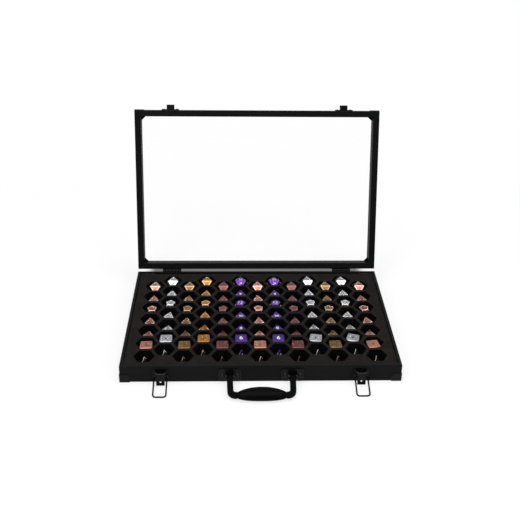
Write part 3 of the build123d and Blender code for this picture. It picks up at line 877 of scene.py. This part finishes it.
@dataclass
class Polyhedron:
    """A flat-sided solid that rests on its first face, as corners and one loop per face."""

    corners: list[Vector]
    loops: list[list[int]]
    normals: list[Vector]

    @classmethod
    def resting(cls, form: DieForm) -> "Polyhedron":
        """Cuts the solid from its face planes and sets it down on its first face.

        Args:
            form: the die's form.

        Returns:
            The solid, standing at height 0 over the origin.
        """
        planes = [Vector(n).normalized() for n in form.normals]
        near = form.distance * CORNER_ERROR
        corners: list[Vector] = []
        for trio in combinations(planes, 3):
            rows = Matrix(trio)
            if abs(rows.determinant()) < LEAST_DETERMINANT:
                continue
            point = rows.inverted() @ Vector((form.distance,) * 3)
            inside = all(p.dot(point) < form.distance + near for p in planes)
            if inside and all((point - other).length > near for other in corners):
                corners.append(point)
        foot = planes[0] * form.distance
        on_floor = [c for c in corners if abs(planes[0].dot(c) - form.distance) < near]
        ahead = min(on_floor, key=lambda c: round((c - foot).length / near)) - foot
        up = -planes[0]
        ahead.normalize()
        stand = Matrix((ahead, up.cross(ahead), up))
        turn = Matrix.Rotation(math.radians(form.turn), 3, "Z") @ stand
        placed = [turn @ (c - foot) for c in corners]
        turned = [turn @ p for p in planes]
        middle = turn @ -foot
        loops = []
        for normal in turned:
            face = [i for i, c in enumerate(placed) if normal.dot(c - middle) > form.distance - near]
            centre = sum((placed[i] for i in face), Vector()) / len(face)
            start = (placed[face[0]] - centre).normalized()
            side = normal.cross(start)
            face.sort(
                key=lambda i: math.atan2(
                    side.dot(placed[i] - centre), start.dot(placed[i] - centre)
                )
            )
            loops.append(face)
        return cls(placed, loops, turned)

    def middle_of(self, face: int) -> Vector:
        """The average of a face's corners."""
        loop = self.loops[face]
        return sum((self.corners[i] for i in loop), Vector()) / len(loop)


@cache
def numeral_mesh(text: str) -> bpy.types.Mesh:
    """A numeral of height 1 in the xy plane, centred on the origin, with a small thickness.

    Args:
        text: the digits.

    Returns:
        The numeral as a mesh.
    """
    curve = bpy.data.curves.new(f"numeral_{text}", "FONT")
    curve.body = text
    curve.resolution_u = NUMERAL_RESOLUTION
    curve.extrude = NUMERAL_EXTRUDE
    holder = bpy.data.objects.new(curve.name, curve)
    mesh = bpy.data.meshes.new_from_object(holder)
    bpy.data.objects.remove(holder)
    bpy.data.curves.remove(curve)
    points = [v.co for v in mesh.vertices]
    low = Vector([min(p[i] for p in points) for i in range(3)])
    high = Vector([max(p[i] for p in points) for i in range(3)])
    mesh.transform(Matrix.Scale(1 / (high.y - low.y), 4) @ Matrix.Translation(-(low + high) / 2))
    return mesh


def labels(kind: DieKind, normals: list[Vector]) -> list[str]:
    """The text on each face, with opposite faces adding up to the same sum.

    Args:
        kind: the kind of die.
        normals: the direction of each face.

    Returns:
        One text per face, in the order of the faces.
    """
    first = 0 if kind in (DieKind.D10, DieKind.D100) else 1
    numbers: dict[int, int] = {}
    for face, normal in enumerate(normals):
        if face not in numbers:
            low = first + len(numbers) // 2
            opposite = min(range(len(normals)), key=lambda other: normal.dot(normals[other]))
            numbers[face] = low
            numbers[opposite] = 2 * first + len(normals) - 1 - low
    tail = "0" if kind is DieKind.D100 else ""
    return [f"{numbers[face]}{tail}" for face in range(len(normals))]


def add_numeral(
    shape: bmesh.types.BMesh, text: str, centre: Vector, normal: Vector, upward: Vector, height: float
) -> None:
    """Adds one numeral to a die's mesh.

    Args:
        shape: the die's mesh.
        text: the digits.
        centre: where the numeral's middle goes.
        normal: the face's direction.
        upward: which way the numeral's top points.
        height: the numeral's height.
    """
    side = upward.cross(normal).normalized()
    turn = Matrix((side, normal.cross(side), normal)).transposed().to_4x4()
    mesh = numeral_mesh(text).copy()
    mesh.transform(Matrix.Translation(centre) @ turn @ Matrix.Scale(height, 4))
    first = len(shape.faces)
    shape.from_mesh(mesh)
    shape.faces.ensure_lookup_table()
    for face in shape.faces[first:]:
        face.material_index = NUMERAL
    bpy.data.meshes.remove(mesh)


@cache
def die_mesh(kind: DieKind, lettering: float) -> bpy.types.Mesh:
    """One die with rounded edges, sunk panels inside raised borders, and numerals.

    Args:
        kind: the kind of die.
        lettering: how large the numerals are, as a share of the kind's largest.

    Returns:
        The mesh, standing at height 0 over the origin, with three material indexes.
    """
    form = FORMS[kind]
    numeral = form.numeral * lettering
    solid = Polyhedron.resting(form)
    shape = bmesh.new()
    corners = [shape.verts.new(c) for c in solid.corners]
    for loop in solid.loops:
        shape.faces.new([corners[i] for i in loop])
    bmesh.ops.bevel(
        shape, geom=shape.edges[:], offset=form.edge, segments=3, profile=0.5, affect="EDGES"
    )
    bmesh.ops.recalc_face_normals(shape, faces=shape.faces[:])
    sink = form.distance * PANEL_SINK
    panels = []
    for normal in solid.normals:
        flat = [f for f in shape.faces if f.normal.dot(normal) > LEAST_COSINE]
        panels.append(max(flat, key=lambda f: f.calc_area()))
    bmesh.ops.inset_individual(shape, faces=panels, thickness=form.rim, depth=0.0)
    bmesh.ops.inset_individual(shape, faces=panels, thickness=sink, depth=-sink)
    for face in shape.faces:
        face.smooth = True
    for panel in panels:
        panel.material_index = PANEL
        panel.smooth = False
    texts = [] if kind is DieKind.D4 else labels(kind, solid.normals)
    for number, normal in enumerate(solid.normals):
        middle = solid.middle_of(number) - normal * sink
        loop = [solid.corners[i] for i in solid.loops[number]]
        far = max(loop, key=lambda c: [round(v, 5) for v in ((c - middle).length, c.z, c.y)])
        if kind is DieKind.D4:
            for i, corner in zip(solid.loops[number], loop):
                place = middle.lerp(corner, D4_NUMERAL_PLACE) - normal * sink * D4_NUMERAL_PLACE
                add_numeral(shape, str(i + 1), place, normal, corner - middle, numeral)
        else:
            upward = far - middle if len(loop) != 4 else Vector((0, 1, 0.01))
            upward = upward - normal * upward.dot(normal)
            if upward.length < form.distance * LEAST_UPWARD:
                upward = Vector((1, 0, 0)) - normal * normal.x
            add_numeral(shape, texts[number], middle, normal, upward.normalized(), numeral)
    mesh = bpy.data.meshes.new(f"{kind.value}_form")
    shape.to_mesh(mesh)
    shape.free()
    return mesh


@dataclass(frozen=True)
class DiceColour:
    """The look of one set: its border, panels and numerals, and the record's slot.

    lettering is the size of its numerals, as a share of the largest that the dice take.
    """

    slot: str
    border: Finish
    panel: Finish
    numeral: Finish
    lettering: float


DARK_FILL = NumeralPaint("dark_numeral_paint", colour="#342c27")
WHITE_FILL = NumeralPaint("white_numeral_paint", colour="#f2f2f4")


def plated(slot: str, border: str, panel: str, dark: str, patina: float = 0.2) -> DiceColour:
    """A plated set: bright borders, and deeper coloured panels with a softer shine."""
    return DiceColour(
        slot,
        PlatedZinc(f"{slot}_border_plating", border, dark, patina / 2),
        PlatedZinc(f"{slot}_panel_plating", panel, dark, patina, roughness=(0.2, 0.3)),
        DARK_FILL,
        lettering=0.7,
    )


COPPER = plated("dice_copper", "#e0c0b6", "#a87466", "#6c3c30")
SILVER = plated("dice_silver", "#e2e2e5", "#a8a9ad", "#74747c")
ANTIQUE_GOLD = plated("dice_antique_gold", "#b4a084", "#785a36", "#3c2814", 0.3)
GOLD = plated("dice_gold", "#cfb08a", "#9a6a34", "#5c3810")
ROSE = plated("dice_rose", "#7e6260", "#6c3f3e", "#3a1a1a")
ROSE_GOLD = plated("dice_rose_gold", "#dcbab0", "#aa7264", "#7c4030")
PURPLE = DiceColour(
    "dice_purple",
    LacqueredZinc("purple_border_lacquer", colour="#7850a6", patch_colour="#5a3488"),
    LacqueredZinc("purple_panel_lacquer", colour="#4e2684", patch_colour="#351260"),
    WHITE_FILL,
    lettering=1.0,
)


@dataclass
class DiceSets:
    """Thirteen seven-piece sets, one column of pockets each."""

    plan: PocketPlan
    seed: int = 21
    colours: tuple[DiceColour, ...] = (
        COPPER, SILVER, ANTIQUE_GOLD, GOLD, ROSE, PURPLE, ROSE_GOLD,
        PURPLE, ROSE, SILVER, ANTIQUE_GOLD, SILVER, COPPER,
    )
    askew_cubes: dict[int, float] = field(default_factory=lambda: {9: -9.0, 11: -18.0, 12: 7.0})

    def die(self, column: int, row: int, kind: DieKind, turn: float) -> bpy.types.Object:
        """Stands one die in its pocket.

        Args:
            column: the pocket's column.
            row: the pocket's row.
            kind: the kind of die.
            turn: how far it is turned in the pocket, in degrees.

        Returns:
            The die.
        """
        node = f"dice_set_{column + 1:02d}"
        colour = self.colours[column]
        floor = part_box(node)[0].z
        mesh = die_mesh(kind, colour.lettering).copy()
        place = self.plan.centre(column, row) + Vector((0, 0, floor))
        mesh.transform(Matrix.Translation(place) @ Matrix.Rotation(math.radians(turn), 4, "Z"))
        # Painted shade: a cube's borders take its panels' deeper colour, to dull its rounded edges'
        # shine
        border = colour.panel if kind is DieKind.D6 else colour.border
        for finish in (border, colour.panel, colour.numeral):
            mesh.materials.append(finish.material())
        die = bpy.data.objects.new(f"{node}_{kind.value}", mesh)
        bpy.context.scene.collection.objects.link(die)
        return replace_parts(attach(die, "base"), node)

    def build(self) -> None:
        """Fills every pocket."""
        draw = random.Random(self.seed)
        for column in range(self.plan.columns):
            for row, kind in enumerate(DieKind):
                turn = draw.uniform(-1, 1) * FORMS[kind].play
                if kind is DieKind.D6:
                    turn += self.askew_cubes.get(column, 0.0)
                self.die(column, row, kind, turn)
        LOG.info("dice: %d sets of %d", self.plan.columns, len(DieKind))


# Case, hinges, latches and handle
@dataclass
class CaseFrame:
    """The extruded rails of base and lid, their corner pieces, the board and the window."""

    across: Finish = AnodisedAluminium("anodised_rail_across")
    # The lid's rails take darker copies of the anodised finish: painted shade
    shaded_lid_across: Finish = AnodisedAluminium(
        "anodised_rail_lid_across_painted_shade", colour="#0f0f10", patch_colour="#151516"
    )
    depth: Finish = AnodisedAluminium("anodised_rail_depth", run=Run.DEPTH)
    shaded_lid_side: Finish = AnodisedAluminium(
        "anodised_rail_lid_side_painted_shade", run=Run.LID_SIDE, colour="#0d0d0e", patch_colour="#121213"
    )
    steel: Finish = EnamelledSteel("enamelled_guard_steel")
    key: Finish = MillAluminium("mill_finish_key")
    board: Finish = EmbossedBoard("vinyl_faced_hardboard")
    window: Finish = CastAcrylic("cast_acrylic_window")
    clip: Finish = MouldedAbs("moulded_abs_clip", colour="#040404")

    def dress(self) -> None:
        """Gives each part of the case its finish."""
        dress(["base_rail_front", "base_rail_rear"], self.across)
        dress(["lid_rail_front", "lid_rail_rear"], self.shaded_lid_across)
        dress(["base_rail_left", "base_rail_right"], self.depth)
        dress(["lid_rail_left", "lid_rail_right"], self.shaded_lid_side)
        dress(["base_corner_guards", "lid_corner_guards"], self.steel)
        dress(["base_corner_keys", "lid_corner_keys"], self.key)
        dress(["base_panel"], self.board)
        dress(["lid_window"], self.window)
        dress(["lid_corner_clips"], self.clip)
        LOG.info("case: rails, corners, board and window")


@dataclass
class Hardware:
    """Hinges, latches and their fasteners."""

    steel: Finish = EnamelledSteel("enamelled_hardware_steel")
    wire: Finish = EnamelledSteel("enamelled_bail_wire", colour="#030303", specular=0.03)
    nickel: Finish = NickelPlatedSteel("nickel_plated_steel")

    def dress(self) -> None:
        """Gives pressed parts, hinge pins and rivets black enamel, latch pins and screws nickel."""
        for hand in ("left", "right"):
            pressed = ["hinge_base_leaf", "hinge_lid_leaf", "latch_plate", "latch_lever", "keeper"]
            dress([f"{hand}_{part}" for part in [*pressed, "hinge_pin"]], self.steel)
            dress([f"{hand}_latch_bail"], self.wire)
            dress([f"{hand}_latch_pin"], self.nickel)
        dress(["latch_rivets", "keeper_rivets", "base_hinge_rivets", "lid_hinge_rivets"], self.steel)
        dress(["handle_screws"], self.nickel)
        LOG.info("hardware: hinges, latches, rivets and screws")


@dataclass
class CarryHandle:
    """The moulded handle, its brackets and its pins."""

    plastic: Finish = MouldedAbs("moulded_abs_handle")
    steel: Finish = EnamelledSteel("enamelled_bracket_steel")

    def dress(self) -> None:
        """Gives the handle glossy plastic and its brackets black enamel."""
        dress(["handle"], self.plastic)
        dress(["left_handle_bracket", "right_handle_bracket", "handle_pins"], self.steel)
        LOG.info("handle: grip, brackets and pins")


# Studio
@dataclass(frozen=True)
class SoftLamp:
    """A square soft lamp: where it hangs, its side length and its power in watts."""

    name: str
    place: tuple[float, float, float]
    size: float
    power: float


@dataclass
class Studio:
    """The floor, the lamps, the white surroundings and the camera.

    Where a reflection looks, the surroundings are dim low down in front of the case. They
    brighten backwards over dim_front, upwards over dim_low, and high up end backwards over
    high_end. dim_low is the upward part of a direction, and the others the backward part.
    """

    lamps: tuple[SoftLamp, ...] = (
        SoftLamp("top_lamp", (0.0, -0.2, 1.6), 1.4, 16.0),
        SoftLamp("front_lamp", (-0.9, -1.5, 1.2), 1.0, 8.0),
        SoftLamp("side_lamp", (1.2, -0.9, 0.9), 0.9, 5.0),
    )
    floor_size: float = 6.0
    floor_drop: float = 0.05 * MM
    fill_strength: float = 0.45
    front_strength: float = 0.1
    dim_front: Range = (-0.3, 0.4)
    dim_low: Range = (0.22, 0.45)
    back_strength: float = 1.0
    high_strength: float = 0.95
    high_end: Range = (0.2, 0.6)
    sweep: Finish = StudioSweep("white_studio_sweep")

    target: tuple[float, float, float] = (0.25 * MM, 0.0, 104.3 * MM)
    distance: float = 1009.3 * MM
    azimuth: float = -2.05
    elevation: float = 29.52
    roll: float = 0.95
    lens_mm: float = 55.92
    sensor_mm: float = 36.0

    def floor(self) -> None:
        """Lays the pale floor."""
        shape = bmesh.new()
        bmesh.ops.create_grid(shape, x_segments=8, y_segments=8, size=self.floor_size / 2)
        bmesh.ops.translate(shape, verts=shape.verts[:], vec=(0, 0, -self.floor_drop))
        new_object("studio_floor", shape, [self.sweep])

    def hang(self, lamp: SoftLamp) -> None:
        """Hangs one lamp that faces the case.

        Args:
            lamp: the lamp.
        """
        data = bpy.data.lights.new(lamp.name, "AREA")
        data.size = lamp.size
        data.energy = lamp.power
        made = bpy.data.objects.new(lamp.name, data)
        made.location = lamp.place
        aim = Vector(self.target) - Vector(lamp.place)
        made.rotation_euler = aim.to_track_quat("-Z", "Y").to_euler()
        bpy.context.scene.collection.objects.link(made)

    def surroundings(self) -> None:
        """Makes the studio white to the eye, dim low down in front, and a plain fill."""
        world = bpy.data.worlds.new("white_studio")
        world.use_nodes = True
        tree = world.node_tree
        tree.nodes.clear()
        heading = add_node(tree, "TexCoord", output="Generated")
        upward = add_node(tree, "SeparateXYZ", links={0: heading}, output="Z")
        backward = add_node(tree, "SeparateXYZ", links={0: heading}, output="Y")
        low = eased(*self.dim_low, 0.0, self.high_strength)
        high = add_node(tree, "MapRange", low, {"Value": upward})
        over = eased(*self.high_end, 1.0, 0.0)
        end = add_node(tree, "MapRange", over, {"Value": backward})
        ahead = add_node(tree, "Math", TIMES, {0: high, 1: end})
        front = eased(*self.dim_front, self.front_strength, self.back_strength)
        behind = add_node(tree, "MapRange", front, {"Value": backward})
        strength = add_node(tree, "Math", LARGER, {0: behind, 1: ahead})
        glossy = add_node(tree, "LightPath", output="Is Glossy Ray")
        plain = {"data_type": "FLOAT", 2: 1.0}
        mirrored = add_node(tree, "Mix", plain, {0: glossy, 3: strength})
        white = {"Color": linear("#ffffff")}
        shown = add_node(tree, "Background", white, {"Strength": mirrored})
        lit = {**white, "Strength": self.fill_strength}
        fill = add_node(tree, "Background", lit)
        mix = add_node(tree, "MixShader", links={0: seen(tree), 1: fill, 2: shown})
        add_node(tree, "OutputWorld", links={"Surface": mix})
        bpy.context.scene.world = world

    def camera(self) -> None:
        """Sets the camera at the photograph's viewing angle."""
        azimuth, elevation = math.radians(self.azimuth), math.radians(self.elevation)
        level = math.cos(elevation)
        back = Vector((math.sin(azimuth) * level, -math.cos(azimuth) * level, math.sin(elevation)))
        right = Vector((0, 0, 1)).cross(back).normalized()
        upright = Matrix((right, back.cross(right), back)).transposed()
        roll = Matrix.Rotation(math.radians(self.roll), 3, back)
        data = bpy.data.cameras.new("camera")
        data.lens = self.lens_mm
        data.sensor_width = self.sensor_mm
        camera = bpy.data.objects.new("camera", data)
        place = Matrix.Translation(Vector(self.target) + back * self.distance)
        camera.matrix_world = place @ (roll @ upright).to_4x4()
        bpy.context.scene.collection.objects.link(camera)
        bpy.context.scene.camera = camera

    def build(self) -> None:
        """Sets up the studio."""
        self.floor()
        for lamp in self.lamps:
            self.hang(lamp)
        self.surroundings()
        self.camera()
        bpy.context.scene.view_settings.view_transform = "Standard"
        LOG.info("studio: floor, lamps and camera")


def main() -> None:
    """Builds every sub-assembly."""
    logging.basicConfig(level=logging.INFO)
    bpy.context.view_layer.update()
    plan = PocketPlan()
    FoamTray(plan).build()
    DiceSets(plan).build()
    CaseFrame().dress()
    Hardware().dress()
    CarryHandle().dress()
    Studio().build()


if __name__ == "__main__":
    main()
